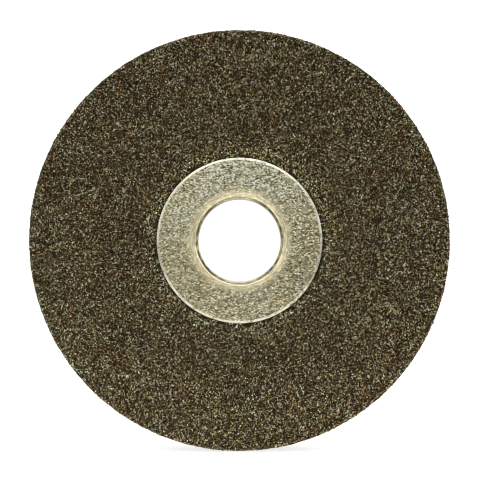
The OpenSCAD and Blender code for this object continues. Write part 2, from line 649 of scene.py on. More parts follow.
def bump(tree, height, distance, amount=1.0):
    inputs = {"Height": height, "Distance": distance, "Strength": amount}
    return place(tree, "ShaderNodeBump", inputs).outputs["Normal"]


# Shader groups for the effects that more than one material has
SOCKETS = {"VALUE": "NodeSocketFloat", "VECTOR": "NodeSocketVector", "RGBA": "NodeSocketColor"}


def effect(tree, name, inputs):
    """Places a shader group, which is made the first time, with its inputs, and gives its outputs."""
    group = bpy.data.node_groups.get(name)
    if group is None:
        kinds, make = EFFECTS[name]
        group = bpy.data.node_groups.new(name, "ShaderNodeTree")
        for label, kind in kinds.items():
            group.interface.new_socket(label, in_out="INPUT", socket_type=SOCKETS[kind])
        ends = make(group, group.nodes.new("NodeGroupInput").outputs)
        for label, end in ends.items():
            group.interface.new_socket(label, in_out="OUTPUT", socket_type=SOCKETS[end.type])
        place(group, "NodeGroupOutput", ends)
    return place(tree, "ShaderNodeGroup", inputs, node_tree=group).outputs


def axis_distance(tree, inputs):
    """Distance from the spin axis."""
    return {"Distance": axis_length(tree, axes(tree, inputs["Vector"]))}


def flecks(tree, inputs):
    """Small cells, each with random numbers of its own and a depth that grows from its middle."""
    cells = place(tree, "ShaderNodeTexVoronoi", {"Vector": inputs["Vector"], "Scale": inputs["Scale"]})
    parts = place(tree, "ShaderNodeSeparateColor", {0: cells.outputs["Color"]}).outputs
    return {"Shade": parts[0], "Tint": parts[1], "Pick": parts[2], "Depth": cells.outputs["Distance"]}


def scratches(tree, inputs):
    """Thin straight scratches in four directions."""
    most = 0.0
    for turn in SCRATCH_TURNS:
        drawn = mapped(tree, inputs["Vector"], SCRATCH_DRAW, turn)
        drawn = vector_maths(tree, "SCALE", {0: drawn, "Scale": inputs["Scale"]})
        start, full = SCRATCH_EDGE
        span = {"Value": noise(tree, drawn, 1, 1), "From Min": start, "From Max": full}
        most = maths(tree, "MAXIMUM", most, place(tree, "ShaderNodeMapRange", span).outputs[0])
    return {"Mask": product(tree, most, inputs["Amount"])}


def filaments(tree, inputs):
    """Glass filaments drawn out along a yarn, with resin soaked into it in places."""
    spun = {"Vector": inputs["Vector"], "Scale": inputs["Stretch"]}
    drawn = place(tree, "ShaderNodeMapping", spun).outputs["Vector"]
    strands = noise(tree, drawn, 1, 3, 0.6)
    glass = times(tree, inputs["Glass"], ramp(tree, strands, ((0.3, 0.4), (0.5, 1.0), (0.7, 1.7))))
    soak = ramp(tree, noise(tree, inputs["Vector"], 0.5 * PER_MM, 3), ((0.35, 0.0), (0.7, 0.75)))
    return {"Color": mixed(tree, soak, glass, inputs["Resin"]), "Height": strands}


def plating(tree, inputs):
    """Mottled plating that has yellowed in places, with a number for each fleck."""
    spot = inputs["Vector"]
    parts = axes(tree, spot)
    slant = maths(tree, "ADD", parts["X"], parts["Z"])
    stain = maths(tree, "MULTIPLY_ADD", slant, -0.012 * PER_MM, noise(tree, spot, 0.14 * PER_MM, 3))
    steel = mixed(tree, fade(tree, stain, 0.37, 0.6), inputs["Pale"], inputs["Tan"])
    fleck = effect(tree, "flecks", {"Vector": mapped(tree, spot, (0.7, 1, 1)), "Scale": 7.2 * PER_MM})
    crisp = fade(tree, slant, -10 * MM, 8 * MM, 0.86, 1.0)
    steel = times(tree, steel, ramp(tree, fleck["Shade"], FLECK_SHADES), crisp)
    steel = times(tree, steel, ramp(tree, fleck["Tint"], FLECK_TINTS))
    pit = effect(tree, "flecks", {"Vector": spot, "Scale": 3.4 * PER_MM})
    often = fade(tree, parts["X"], -10 * MM, 10 * MM, 0.95, 0.66)
    rare = maths(tree, "GREATER_THAN", pit["Pick"], often)
    pits = product(tree, rare, fade(tree, pit["Depth"], 0.45, 0.2, 0.0, 0.9))
    return {"Color": mixed(tree, pits, steel, inputs["Grime"]), "Fleck": fleck["Shade"]}


EFFECTS = {
    "axis_distance": ({"Vector": "VECTOR"}, axis_distance),
    "flecks": ({"Vector": "VECTOR", "Scale": "VALUE"}, flecks),
    "scratches": ({"Vector": "VECTOR", "Scale": "VALUE", "Amount": "VALUE"}, scratches),
    "filaments": (
        {"Vector": "VECTOR", "Stretch": "VECTOR", "Glass": "RGBA", "Resin": "RGBA"},
        filaments,
    ),
    "plating": ({"Vector": "VECTOR", "Pale": "RGBA", "Tan": "RGBA", "Grime": "RGBA"}, plating),
}


# Grit
def grain_finish():
    """Crushed grains, each with its own brightness, tint and gloss."""
    material, tree, spot = new_material("crushed_grain")
    face_r = bpy.context.scene.wheel_laminate.face_r
    flange_r = bpy.context.scene.wheel_bush.flange_r
    tone = place(tree, "ShaderNodeAttribute", attribute_name="grain_tone").outputs["Fac"]
    hue = place(tree, "ShaderNodeAttribute", attribute_name="grain_hue").outputs["Fac"]
    rusty = maths(tree, "LESS_THAN", hue, RUST)
    dyed = maths(tree, "MAXIMUM", rusty, fade(tree, tone, 0.7, 1.0, 1.0, 0.35))
    shade = times(tree, ramp(tree, tone, TONE_STOPS), ramp(tree, hue, HUE_STOPS), dyed)
    shade = times(tree, shade, ramp(tree, noise(tree, spot, 6 * PER_MM), ((0.3, 0.7), (0.7, 1.0))))
    shade = times(tree, shade, ramp(tree, noise(tree, spot, 0.9 * PER_MM), PATCH_STOPS), dyed)

    # Cleaner and paler round the flange, and paler still above it: painted light on the upper side
    far = effect(tree, "axis_distance", {"Vector": spot})["Distance"]
    up = axes(tree, spot)["Z"]
    clean_and_painted_top_light = fade(tree, up, -8 * MM, 11 * MM, 1.45, 2.0)
    fresh_and_painted_light = times(tree, shade, times(tree, FRESH_TINT, clean_and_painted_top_light))
    shade = mixed(tree, fade(tree, far, flange_r, flange_r + 2.4 * MM, 1.0, 0.0), shade, fresh_and_painted_light)

    # Paler on the lower part of the grinding face: painted light, brighter towards the bottom
    on_face = fade(tree, far, face_r - MM, face_r + 2 * MM)
    painted_low_light = fade(tree, up, -22 * MM, 12 * MM, 0.15, 0.0)
    shade = times(tree, shade, maths(tree, "MULTIPLY_ADD", on_face, painted_low_light, 1.0))

    # Darker along the flange, broken up by noise: painted shade beside the flange, in the colour of the
    # bond
    painted_shade_by_flange = fade(tree, far, flange_r + 0.2 * MM, flange_r + 0.5 * MM, 0.9, 0.0)
    shade_breakup = fade(tree, noise(tree, spot, 0.7 * PER_MM), 0.42, 0.56)
    resin = product(tree, painted_shade_by_flange, shade_breakup)
    shade = mixed(tree, resin, shade, bpy.context.scene.wheel_grit.bond)

    glint = maths(tree, "GREATER_THAN", hue, GLINT)
    inputs = {
        "Base Color": mixed(tree, glint, shade, GLINT_TINT),
        "Metallic": glint,
        "Roughness": ramp(tree, hue, ((0.0, 0.7), (0.5, 0.55), (1.0, 0.3))),
        "Specular IOR Level": 0.06,
    }
    return finished(material, inputs)


def bond_finish():
    """Dark resin with fine crumbs of grit in it."""
    material, tree, spot = new_material("resin_bond")
    look = bpy.context.scene.wheel_grit
    crumbs = effect(tree, "flecks", {"Vector": spot, "Scale": 11 * PER_MM})
    inputs = {
        "Base Color": mixed(tree, fade(tree, crumbs["Shade"], 0.45, 1.0), look.bond, look.crumb),
        "Roughness": 0.8,
        "Specular IOR Level": 0.1,
        "Normal": bump(tree, crumbs["Depth"], 0.08 * MM),
    }
    return finished(material, inputs)


def grain_shapes():
    """A collection of small crushed grains, each about 1 m across, to be scattered at size."""
    holder = bpy.data.collections.new("grain_shapes")
    bpy.context.scene.collection.children.link(holder)
    for seed in range(GRAIN_SHAPES):
        deselect_all()
        bpy.ops.mesh.primitive_cone_add(
            vertices=4, radius1=GRAIN_R, depth=GRAIN_R, location=(0, 0, GRAIN_R / 2)
        )
        bpy.ops.object.transform_apply(location=True)
        grain = named(f"grain_{seed}")
        bpy.ops.object.mode_set(mode="EDIT")
        bpy.ops.mesh.select_mode(type="FACE")
        pick_faces(grain, lambda middle, normal: normal.z < -FACING)
        bpy.ops.mesh.poke(offset=GRAIN_R)
        bpy.ops.mesh.select_mode(type="VERT")
        bpy.ops.mesh.select_all(action="SELECT")
        bpy.ops.transform.vertex_random(offset=GRAIN_SPREAD, uniform=1.0, seed=seed)
        bpy.ops.mesh.convex_hull()
        bpy.ops.mesh.quads_convert_to_tris()
        leave_edit()
        for collection in grain.users_collection:
            collection.objects.unlink(grain)
        holder.objects.link(grain)
    return holder


def random_value(tree, low, high, seed):
    """A random number or vector for each point."""
    kind = "FLOAT_VECTOR" if isinstance(low, tuple) else "FLOAT"
    node = place(tree, "FunctionNodeRandomValue", {"Seed": seed}, data_type=kind)
    sockets = [s for s in node.inputs if s.enabled and s.name in ("Min", "Max")]
    for socket, value in zip(sockets, (low, high)):
        socket.default_value = value
    return next(s for s in node.outputs if s.enabled)


def stored(tree, geometry, name, value, domain="INSTANCE", kind="FLOAT"):
    """Keeps a value on the geometry under a name."""
    node = place(
        tree,
        "GeometryNodeStoreNamedAttribute",
        {"Geometry": geometry, "Name": name},
        data_type=kind,
        domain=domain,
    )
    tree.links.new(value, next(s for s in node.inputs if s.enabled and s.name == "Value"))
    return node.outputs["Geometry"]


def point_axes(tree):
    """The three parts of a point's place."""
    return axes(tree, tree.nodes.new("GeometryNodeInputPosition").outputs[0])


def flat_map(tree):
    """A map of the wheel's face: X and Z, each over a little more than the diameter."""
    across = FACE_SPAN * bpy.context.scene.wheel_laminate.wheel_r
    parts = point_axes(tree)
    ends = [maths(tree, "ADD", maths(tree, "DIVIDE", parts[axis], across), 0.5) for axis in "XZ"]
    return joined(tree, X=ends[0], Y=ends[1])


def rim_place(tree):
    """How far round the rim a point lies, in rows of the rim's map, and its place along the axis."""
    parts = point_axes(tree)
    angle = maths(tree, "ARCTAN2", parts["Z"], parts["X"])
    return maths(tree, "MULTIPLY_ADD", angle, RIM_ROWS / FULL_TURN, RIM_ROWS / 2), parts["Y"]


def rim_map(tree):
    """A map of the rim, cut into rows that lie one over the other; a grain stays in its own row."""
    wheel = bpy.context.scene.wheel_laminate
    scale = ROW_HEIGHT / (wheel.front_t + wheel.back_t)
    turn, depth = rim_place(tree)
    row = place(tree, "GeometryNodeInputNamedAttribute", {"Name": "rim_row"}).outputs["Attribute"]
    along = maths(tree, "WRAP", maths(tree, "SUBTRACT", turn, row), RIM_ROWS - 0.5, -0.5)
    along = maths(tree, "MULTIPLY_ADD", along, ROW_LENGTH, (1 - ROW_LENGTH) / 2)
    up = maths(tree, "MULTIPLY_ADD", depth, scale, (1 - ROW_HEIGHT) / 2 - scale * wheel.face_y)
    up = maths(tree, "DIVIDE", maths(tree, "ADD", row, up), RIM_ROWS)
    return joined(tree, X=along, Y=up)


def on_yarn(tree):
    """True for points that lie under a yarn of the back scrim."""
    scrim = bpy.context.scene.wheel_scrim
    parts = point_axes(tree)
    covers = []
    for axis in "XZ":
        along = maths(tree, "FRACT", maths(tree, "DIVIDE", parts[axis], scrim.pitch))
        off = maths(tree, "ABSOLUTE", maths(tree, "SUBTRACT", along, 0.5))
        covers.append(maths(tree, "LESS_THAN", off, 0.5 * scrim.width / scrim.pitch))
    inside = maths(tree, "LESS_THAN", axis_length(tree, parts), scrim.net_r)
    return product(tree, maths(tree, "MAXIMUM", *covers), inside)


def scattered(piece, grains, seed, on_rim, clear_of_yarns):
    """Turns a skin into the grains that lie on it, with their centres a little under it."""
    look = bpy.context.scene.wheel_grit
    sink = look.rim_sink if on_rim else look.sink
    tree = bpy.data.node_groups.new(piece.name, "GeometryNodeTree")
    for way in ("INPUT", "OUTPUT"):
        tree.interface.new_socket("Geometry", in_out=way, socket_type="NodeSocketGeometry")
    surface = tree.nodes.new("NodeGroupInput").outputs[0]
    inputs = {
        "Mesh": surface,
        "Distance Min": look.gap,
        "Density Max": POINTS_TRIED / look.gap**2,
        "Seed": seed,
    }
    kind = "GeometryNodeDistributePointsOnFaces"
    spread = place(tree, kind, inputs, distribute_method="POISSON").outputs
    points = spread["Points"]
    if clear_of_yarns:
        inputs = {"Geometry": points, "Selection": on_yarn(tree)}
        points = place(tree, "GeometryNodeDeleteGeometry", inputs).outputs[0]
    lift = random_value(tree, -sink - SINK_SPREAD, -sink + SINK_SPREAD, seed + 1)
    push = vector_maths(tree, "SCALE", {0: spread["Normal"], "Scale": lift})
    points = place(tree, "GeometryNodeSetPosition", {"Geometry": points, "Offset": push}).outputs[0]
    shapes = place(
        tree,
        "GeometryNodeCollectionInfo",
        {"Collection": grains, "Separate Children": True, "Reset Children": True},
    ).outputs[0]
    inputs = {
        "Points": points,
        "Instance": shapes,
        "Pick Instance": True,
        "Rotation": random_value(tree, (0, 0, 0), (FULL_TURN,) * 3, seed + 2),
        "Scale": random_value(tree, look.small, look.large, seed + 3),
    }
    grit = place(tree, "GeometryNodeInstanceOnPoints", inputs).outputs[0]
    grit = stored(tree, grit, "grain_tone", random_value(tree, 0.0, 1.0, seed + 4))
    grit = stored(tree, grit, "grain_hue", random_value(tree, 0.0, 1.0, seed + 5))
    if on_rim:
        grit = stored(tree, grit, "rim_row", maths(tree, "FLOOR", rim_place(tree)[0]))
    grit = place(tree, "GeometryNodeRealizeInstances", {"Geometry": grit}).outputs[0]
    grit = stored(tree, grit, GRAIN_MAP, rim_map(tree) if on_rim else flat_map(tree), "CORNER", "FLOAT2")
    place(tree, "NodeGroupOutput", {0: grit})
    applied(piece, "NODES", node_group=tree)
    piece.vertex_groups.clear()
    for layer in [layer for layer in piece.data.uv_layers if layer.name != GRAIN_MAP]:
        piece.data.uv_layers.remove(layer)


def uneven(piece, height, exposed):
    """Gives the exposed part of a bond body low waves, as hot pressing leaves them."""
    texture = bpy.data.textures.get("pressed_waves")
    if texture is None:
        texture = bpy.data.textures.new("pressed_waves", "CLOUDS")
        texture.noise_scale = 0.9 * MM
        texture.noise_depth = 2
    group = weigh(piece, "exposed", lambda spot: 1.0 if exposed(spot) else 0.0)
    applied(
        piece, "DISPLACE", texture=texture, strength=height, mid_level=0.5, vertex_group=group
    )


def gritted(body, skins, node, seed, clear_of_yarns=()):
    """Scatters grains over parts of a bond body, each part a piece of its own, and settles them all."""
    finish = shared_finish("crushed_grain", grain_finish)
    grains = grain_shapes()
    for i, (name, wanted) in enumerate(skins.items()):
        piece = skin(body, name, wanted)
        scattered(piece, grains, seed + SEED_STEP * i, name.endswith("rim_grit"), name in clear_of_yarns)
        settle(piece, finish)
    for grain in list(grains.objects):
        bpy.data.objects.remove(grain)
    bpy.data.collections.remove(grains)
    settle(body, shared_finish("resin_bond", bond_finish), node)


class WHEEL_OT_front_layer(bpy.types.Operator):
    """Model the front abrasive layer: its bond, and the grains of its face, dish and rim"""

    bl_idname = "wheel.front_layer"
    bl_label = "Front Abrasive Layer"

    def execute(self, context):
        wheel = context.scene.wheel_laminate
        bush = context.scene.wheel_bush
        rim = bond_r(wheel)
        neck = neck_r(bush)
        seat_r = bush.flange_r + SEAT_GAP
        seat_y = bush.flange_y + bush.sheet_t
        joint_y = wheel.face_y + wheel.front_t
        line = laminate_line(wheel.bond_sink, seat_r, rim - wheel.rim_chamfer)
        edge = (rim, line[-1][1] + wheel.rim_chamfer)
        shown = stepped(line + [edge, (rim, joint_y)], BOND_STEP)
        hidden = laminate_line(wheel.front_t, neck, rim)[-2::-1]
        seat = [(neck, seat_y + bush.bend_r), (neck + bush.bend_r, seat_y), (seat_r, seat_y)]
        body = turned("front_bond", shown + hidden + seat, BOND_TURNS)

        def on_front(spot):
            far = radius(spot)
            return far > seat_r + BARE and spot.y < front_at(far) + 2 * wheel.bond_sink

        def ring(inner, outer):
            return lambda spot, normal: normal.y < -FACING and inner <= radius(spot) < outer

        uneven(body, wheel.unevenness, lambda spot: on_front(spot) or radius(spot) > rim - BARE)
        smooth(body)
        half_face = (wheel.face_r + wheel.wheel_r) / 2
        half_dish = (wheel.face_r + wheel.hub_r) / 2
        on_floor = ring(seat_r + context.scene.wheel_grit.groove, half_dish)
        skins = {
            "outer_face_grit": ring(half_face, wheel.wheel_r),
            "inner_face_grit": ring(wheel.face_r, half_face),
            "dish_wall_grit": ring(half_dish, wheel.face_r),
            "hub_floor_grit": lambda spot, normal: on_front(spot) and on_floor(spot, normal),
            "front_rim_grit": lambda spot, normal: (
                at_rim(spot, normal) and spot.y < joint_y - YARN_SEAM
            ),
        }
        gritted(body, skins, "front_abrasive_layer", FRONT_SEED)
        return {"FINISHED"}


class WHEEL_OT_back_layer(bpy.types.Operator):
    """Model the back abrasive layer: its bond, and the grains in its rear surface and rim"""

    bl_idname = "wheel.back_layer"
    bl_label = "Back Abrasive Layer"

    def execute(self, context):
        wheel = context.scene.wheel_laminate
        rim = bond_r(wheel)
        neck = neck_r(context.scene.wheel_bush)
        joint_y = wheel.face_y + wheel.front_t
        depth = wheel.front_t + wheel.back_t - context.scene.wheel_scrim.relief
        line = laminate_line(depth, neck, rim - wheel.rim_chamfer)[::-1]
        edge = (rim, line[0][1] - wheel.rim_chamfer)
        shown = stepped([(rim, joint_y), edge] + line, BOND_STEP)
        hidden = laminate_line(wheel.front_t, neck, rim)[:-1]
        body = turned("back_bond", shown + hidden, BOND_TURNS)

        def on_back(spot):
            return spot.y > front_at(radius(spot)) + depth - wheel.bond_sink

        def ring(inner, outer):
            return lambda spot, normal: (
                normal.y > FACING and on_back(spot) and inner < radius(spot) <= outer
            )

        uneven(body, wheel.unevenness, lambda spot: on_back(spot) or radius(spot) > rim - BARE)
        smooth(body)
        skins = {
            "outer_back_grit": ring(wheel.face_r, wheel.wheel_r),
            "inner_back_grit": ring(PAPER_HIGH.x - SEAT_GAP, wheel.face_r),
            "back_rim_grit": lambda spot, normal: (
                at_rim(spot, normal) and spot.y > joint_y + YARN_SEAM
            ),
        }
        beside_yarns = ("outer_back_grit", "inner_back_grit")
        gritted(body, skins, "back_abrasive_layer", BACK_SEED, beside_yarns)
        return {"FINISHED"}


# Scrims
def yarn_finish(name, along):
    """Glass yarn soaked in resin, with its filaments drawn out along one axis."""
    material, tree, spot = new_material(name)
    scrim = bpy.context.scene.wheel_scrim
    stretch = [STRANDS_ACROSS] * 3
    stretch[along] = STRANDS_ALONG
    tints = {"Glass": rgba(scrim.glass), "Resin": rgba(scrim.resin)}
    yarn = effect(tree, "filaments", {"Vector": spot, "Stretch": stretch, **tints})
    inputs = {
        "Base Color": yarn["Color"],
        "Roughness": 0.42,
        "Normal": bump(tree, yarn["Height"], 0.06 * MM),
    }
    return finished(material, inputs)


def yarn_sheet(name, depth, r_out, crosswise):
    """Flat yarns side by side, pressed onto the dished curve at a depth and cut to two circles."""
    wheel = bpy.context.scene.wheel_laminate
    scrim = bpy.context.scene.wheel_scrim
    r_in = neck_r(bpy.context.scene.wheel_bush) + scrim.hole_gap
    reach = r_out + scrim.width
    line = stepped(laminate_line(depth, scrim.width, reach), BOND_STEP)
    guide = turned("guide", line, GUIDE_TURNS, False)
    height = 2 * wheel.wheel_r
    walls = [(r_in, -height), (r_out, -height), (r_out, height), (r_in, height)]
    cutter = turned("cutter", walls, CUTTER_TURNS)
    count = 2 * int((wheel.wheel_r - scrim.width) / scrim.pitch + 0.5)
    deselect_all()
    bpy.ops.mesh.primitive_grid_add(
        x_subdivisions=YARN_CELLS[0], y_subdivisions=YARN_CELLS[1], size=1, rotation=(math.pi / 2, 0, 0)
    )
    bpy.ops.object.transform_apply(rotation=True)
    piece = named(name)
    edit_all()
    bpy.ops.transform.resize(value=(2 * reach, 1, scrim.width))
    bpy.ops.transform.translate(value=(0, 0, -(count - 1) / 2 * scrim.pitch))
    for _ in range(count - 1):
        bpy.ops.mesh.duplicate_move(TRANSFORM_OT_translate={"value": (0, 0, scrim.pitch)})
    leave_edit()

    def crown(spot):
        off = abs(spot.z / scrim.pitch % 1 - 0.5) * scrim.pitch
        return 1 - (1 - YARN_EDGE) * min(1, 2 * off / scrim.width) ** 2

    group = weigh(piece, "crown", crown)
    if crosswise:
        edit_all()
        bpy.ops.transform.rotate(value=math.pi / 2, orient_axis="Y", center_override=(0, 0, 0))
        leave_edit()
    applied(
        piece,
        "SHRINKWRAP",
        target=guide,
        wrap_method="PROJECT",
        use_project_y=True,
        use_positive_direction=True,
        use_negative_direction=True,
    )
    applied(piece, "SOLIDIFY", thickness=scrim.thickness, offset=-1, vertex_group=group)
    applied(piece, "BOOLEAN", object=cutter, operation="INTERSECT", solver="EXACT")
    for helper in (guide, cutter):
        bpy.data.objects.remove(helper)
    smooth(piece, degrees=50)
    label, along = ("weft_glass", 2) if crosswise else ("warp_glass", 0)
    finish = shared_finish(label, lambda: yarn_finish(label, along))
    settle(piece, finish, name.removesuffix("_yarns"))


class WHEEL_OT_inner_scrim(bpy.types.Operator):
    """Model the scrim between the abrasive layers, whose cut ends show in the rim"""

    bl_idname = "wheel.inner_scrim"
    bl_label = "Inner Scrim"

    def execute(self, context):
        wheel = context.scene.wheel_laminate
        scrim = context.scene.wheel_scrim
        r_out = bond_r(wheel) + scrim.fray
        yarn_sheet("inner_scrim_warp_yarns", wheel.front_t - scrim.thickness, r_out, False)
        yarn_sheet("inner_scrim_weft_yarns", wheel.front_t, r_out, True)
        return {"FINISHED"}


class WHEEL_OT_back_scrim(bpy.types.Operator):
    """Model the scrim in the rear surface"""

    bl_idname = "wheel.back_scrim"
    bl_label = "Back Scrim"

    def execute(self, context):
        wheel = context.scene.wheel_laminate
        scrim = context.scene.wheel_scrim
        depth = wheel.front_t + wheel.back_t
        yarn_sheet("back_scrim_warp_yarns", depth, scrim.net_r, False)
        yarn_sheet("back_scrim_weft_yarns", depth - scrim.thickness, scrim.net_r, True)
        return {"FINISHED"}


# Paper
def paper_finish():
    """Plain kraft paper with long pale and dark fibres, soiled in places."""
    material, tree, spot = new_material("kraft_paper")
    pulp = noise(tree, spot, 1.2 * PER_MM, 5, 0.7)
    sheet = ramp(tree, pulp, PULP_STOPS)
    for turn, tint in FIBRES:
        spun = mapped(tree, spot, FIBRE_DRAW, turn)
        mask = ramp(tree, noise(tree, spun, 1, 1), ((0.6, 0.0), (0.7, 0.6)))
        sheet = mixed(tree, mask, sheet, tint)
    soil = fade(tree, noise(tree, spot, 0.45 * PER_MM, 3), 0.48, 0.68, 0.0, 0.5)
    inputs = {
        "Base Color": mixed(tree, soil, sheet, SOIL),
        "Roughness": 0.85,
        "Specular IOR Level": 0.2,
        "Normal": bump(tree, pulp, 0.05 * MM),
    }
    return finished(material, inputs)


class WHEEL_OT_blotter(bpy.types.Operator):
    """Model the paper blotter behind the hub"""

    bl_idname = "wheel.blotter"
    bl_label = "Paper Blotter"

    def execute(self, context):
        neck = neck_r(context.scene.wheel_bush)
        corners = [
            (neck, PAPER_LOW.y, 0),
            (PAPER_HIGH.x, PAPER_LOW.y, EDGE_BREAK),
            (PAPER_HIGH.x, PAPER_HIGH.y, EDGE_BREAK),
            (neck, PAPER_HIGH.y, 0),
        ]
        path = stepped(rounded(corners), PAPER_STEP)
        piece = turned("paper_blotter_washer", path, PAPER_TURNS)
        smooth(piece)
        settle(piece, paper_finish(), "paper_blotter")
        return {"FINISHED"}


# Steel
def plating_of(tree, spot):
    """The plating group with the colours of the steel."""
    look = bpy.context.scene.wheel_metal
    tints = {"Pale": rgba(look.pale), "Tan": rgba(look.tan), "Grime": rgba(look.grime)}
    return effect(tree, "plating", {"Vector": spot, **tints})


def plated_sheet():
    """The bush: mottled plating with painted light towards the top and painted shade to left and right,
    worn bright at the lip and the flange edge with painted highlights there, and painted shade in the
    bore.
    """
    look = bpy.context.scene.wheel_metal
    bush = bpy.context.scene.wheel_bush
    material, tree, spot = new_material("plated_sheet")
    plate = plating_of(tree, spot)
    steel, fleck = plate["Color"], plate["Fleck"]
    far = effect(tree, "axis_distance", {"Vector": spot})["Distance"]
    parts = axes(tree, spot)
    beside = maths(tree, "ABSOLUTE", parts["X"])

    # Painted light: paler towards the top; painted shade towards left and right, most to the right
    rubbed = fade(tree, parts["Z"], -8 * MM, 8 * MM, 1.0, 1.38)
    painted_side_shade = fade(tree, beside, 3 * MM, 10 * MM, 1.0, 0.9)
    painted_right_shade = fade(tree, parts["X"], 3 * MM, 10 * MM, 1.0, 0.91)
    steel = times(tree, steel, product(tree, rubbed, painted_side_shade, painted_right_shade))

    # Worn flange edge, painted brighter still as a painted highlight on its bevel, and scratches
    edge_r = bush.flange_r - bush.edge_w
    nicks = fade(tree, noise(tree, spot, 1.6 * PER_MM), 0.36, 0.5, 0.25, 1.0)
    edge = product(tree, fade(tree, far, edge_r - 0.05 * MM, edge_r, 0.0, 0.9), nicks)
    scratch = {"Vector": spot, "Scale": 9 * PER_MM, "Amount": 0.47}
    bright = maths(tree, "MAXIMUM", edge, effect(tree, "scratches", scratch)["Mask"])
    steel = mixed(tree, bright, steel, look.bright)

    # Lip, rubbed in rings round the bore, painted paler as a painted highlight and darkened towards the
    # top and the bottom by painted shade
    lip = fade(tree, far, bush.bore_r + 1.35 * bush.lip_w, bush.bore_r + 0.4 * bush.lip_w, 0.0, 0.85)
    painted_lip_shade = fade(tree, maths(tree, "ABSOLUTE", parts["Z"]), MM, 5.5 * MM, 1.0, 0.82)
    ring = joined(tree, Y=product(tree, far, LIP_RUBS * PER_MM))
    heading = vector_maths(tree, "NORMALIZE", {0: spot})
    around = vector_maths(tree, "MULTIPLY_ADD", {0: heading, 1: (LIP_RUBS,) * 3, 2: ring})
    rubs = fade(tree, noise(tree, around, 1), 0.35, 0.65, 0.7, 1.28)
    steel = mixed(tree, lip, steel, times(tree, look.lip, product(tree, painted_lip_shade, rubs)))

    # Darker on the front part of the bore wall, in patches and most of it at left and right: painted
    # shade in the bore
    wall = fade(tree, far, bush.bore_r + 0.24 * MM, bush.bore_r + 0.1 * MM)
    front = fade(tree, parts["Y"], bush.flange_y + 1.3 * MM, bush.flange_y + 4.2 * MM, 1.0, 0.0)
    gaps = fade(tree, noise(tree, spot, 1.3 * PER_MM), 0.38, 0.54, 0.45, 0.95)
    bore_shade_at_left_and_right = fade(tree, beside, 0.2 * bush.bore_r, 0.65 * bush.bore_r, 0.3, 1.0)
    bore = product(tree, wall, front, gaps, bore_shade_at_left_and_right)

    worn = maths(tree, "MAXIMUM", lip, edge)
    inputs = {
        "Base Color": mixed(tree, bore, steel, look.grime),
        "Metallic": maths(tree, "SUBTRACT", 1.0, bore),
        "Specular IOR Level": 0,
        "Roughness": mixed(tree, worn, ramp(tree, fleck, ((0.0, 0.5), (1.0, 0.3))), WORN_GLOSS),
        "Normal": bump(tree, fleck, 0.006 * MM, 0.6),
    }
    return finished(material, inputs)


def turned_ring():
    """The back ring: mottled plating over fine turning marks, with grime in spots and in its seam."""
    look = bpy.context.scene.wheel_metal
    inner = seam_r(bpy.context.scene.wheel_bush)
    material, tree, spot = new_material("turned_ring")
    plate = plating_of(tree, spot)
    far = effect(tree, "axis_distance", {"Vector": spot})["Distance"]
    wave = {"W": product(tree, far, 16 * PER_MM), "Scale": 1.0}
    lines = place(tree, "ShaderNodeTexNoise", wave, noise_dimensions="1D").outputs["Fac"]
    steel = times(tree, plate["Color"], ramp(tree, lines, ((0.3, 0.6), (0.7, 1.25))))
    scratch = {"Vector": spot, "Scale": 7 * PER_MM, "Amount": 0.44}
    steel = mixed(tree, effect(tree, "scratches", scratch)["Mask"], steel, look.bright)
    spots = fade(tree, noise(tree, spot, 0.5 * PER_MM, 4, 0.65), 0.5, 0.66, 0.0, 0.55)
    seam = fade(tree, far, inner + 0.24 * MM, inner + 0.06 * MM, 0.0, 0.92)
    inputs = {
        "Base Color": mixed(tree, maths(tree, "MAXIMUM", spots, seam), steel, look.grime),
        "Metallic": 1,
        "Roughness": ramp(tree, plate["Fleck"], ((0.0, 0.48), (1.0, 0.3))),
        "Normal": bump(tree, lines, 0.02 * MM, 0.6),
    }
    return finished(material, inputs)


class WHEEL_OT_bush(bpy.types.Operator):
    """Model the flanged bush that is pressed from one sheet"""

    bl_idname = "wheel.bush"
    bl_label = "Flanged Bush"

    def execute(self, context):
        bush = context.scene.wheel_bush
        neck = neck_r(bush)
        back_of_flange = bush.flange_y + bush.sheet_t
        countersink = seam_r(bush) - neck
        corners = [
            (bush.bore_r, bush.flange_y + bush.lip_drop, bush.lip_round),
            (bush.bore_r + bush.lip_w, bush.flange_y, bush.slope_round),
            (bush.flange_r - bush.edge_w, bush.flange_y, bush.edge_round),
            (bush.flange_r, bush.flange_y + bush.edge_w / 2, EDGE_BREAK),
            (bush.flange_r, back_of_flange, 0),
            (neck, back_of_flange, bush.bend_r),
            (neck, bush.back_y - countersink, 0),
            (neck + countersink, bush.back_y, SEAM_BREAK),
            (bush.bore_r + bush.flare, bush.back_y, EDGE_BREAK),
            (bush.bore_r, bush.back_y - bush.flare, 0),
        ]
        piece = turned("pressed_bush", rounded(corners), STEEL_TURNS)
        smooth(piece)
        settle(piece, plated_sheet(), "flanged_bush")
        return {"FINISHED"}


class WHEEL_OT_back_ring(bpy.types.Operator):
    """Model the countersunk ring behind the hub"""

    bl_idname = "wheel.back_ring"
    bl_label = "Back Ring"

    def execute(self, context):
        bush = context.scene.wheel_bush
        neck = neck_r(bush)
        countersink = seam_r(bush) - neck
        corners = [
            (neck, RING_LOW.y, 0),
            (RING_HIGH.x, RING_LOW.y, SEAM_BREAK),
            (RING_HIGH.x, RING_HIGH.y - bush.ring_chamfer, SEAM_BREAK),
            (RING_HIGH.x - bush.ring_chamfer, RING_HIGH.y, SEAM_BREAK),
            (neck + countersink, RING_HIGH.y, SEAM_BREAK),
            (neck, RING_HIGH.y - countersink, 0),
        ]
        piece = turned("countersunk_ring", rounded(corners), STEEL_TURNS)
        smooth(piece)
        settle(piece, turned_ring(), "back_ring")
        return {"FINISHED"}


